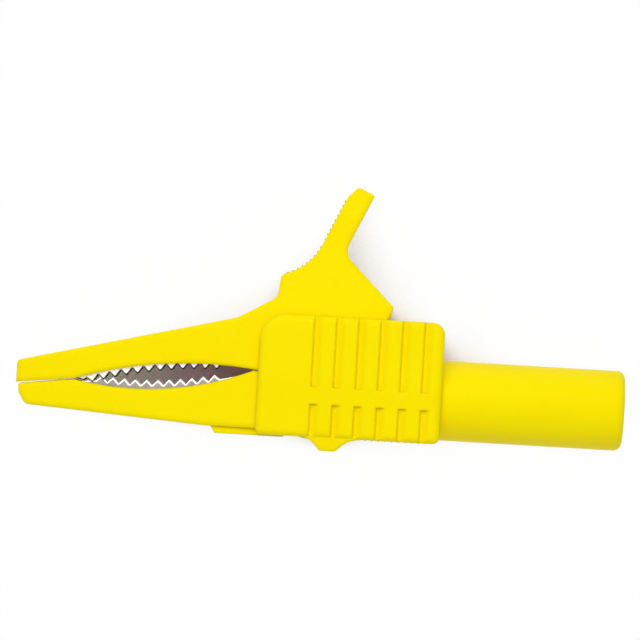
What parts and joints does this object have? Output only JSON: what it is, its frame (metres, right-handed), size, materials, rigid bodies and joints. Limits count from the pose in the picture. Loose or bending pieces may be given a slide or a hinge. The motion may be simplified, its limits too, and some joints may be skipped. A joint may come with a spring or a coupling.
{
  "type": "insulated crocodile clip",
  "caption": "Insulated crocodile clip: sprung toothed steel jaws in plastic covers, a ribbed grip housing with a thumb lever, and a barrel with a shrouded 4 mm test socket.",
  "frame": {"origin": "outer end of the 4 mm contact's bore, on the barrel's axis; the clip lies on one flat cheek at z = -8 mm", "axes": "+X along the barrel, out of the socket; +Y towards the thumb lever; +Z across the clip, up when it lies on its side"},
  "size_m": [0.0912, 0.0395, 0.016],
  "materials": {
    "housing_plastic": "fine satin moulded polyamide, yellow",
    "cover_plastic": "fine satin moulded polyamide, yellow",
    "sleeve_plastic": "smooth extruded tube, yellow",
    "jaw_nickel": "nickel-plated stamped sheet",
    "pin_steel": "bright zinc-plated steel",
    "spring_steel": "drawn spring wire",
    "contact_brass": "turned brass"
  },
  "bodies": {
    "grip_body": {"grip_housing": "housing_plastic", "lower_jaw_cover": "cover_plastic", "lower_jaw": "jaw_nickel", "pivot_pin": "pin_steel", "spring_bush": "pin_steel", "jaw_spring": "spring_steel", "contact_socket": "contact_brass", "socket_sleeve": "sleeve_plastic", "contact_screw": "pin_steel", "lock_washer": "spring_steel"},
    "jaw_body": {"upper_jaw_cover": "cover_plastic", "upper_jaw": "jaw_nickel"}
  },
  "joints": [
    {"name": "jaw_pivot", "type": "hinge", "parent": "grip_body", "child": "jaw_body", "pos_m": [-0.0455, 0.0064, 0], "axis": [0, 0, -1], "range_deg": [0, 26], "stiffness_Nm_per_rad": 0.25, "springref_deg": -34.38, "deforming": ["jaw_spring"]}
  ]
}
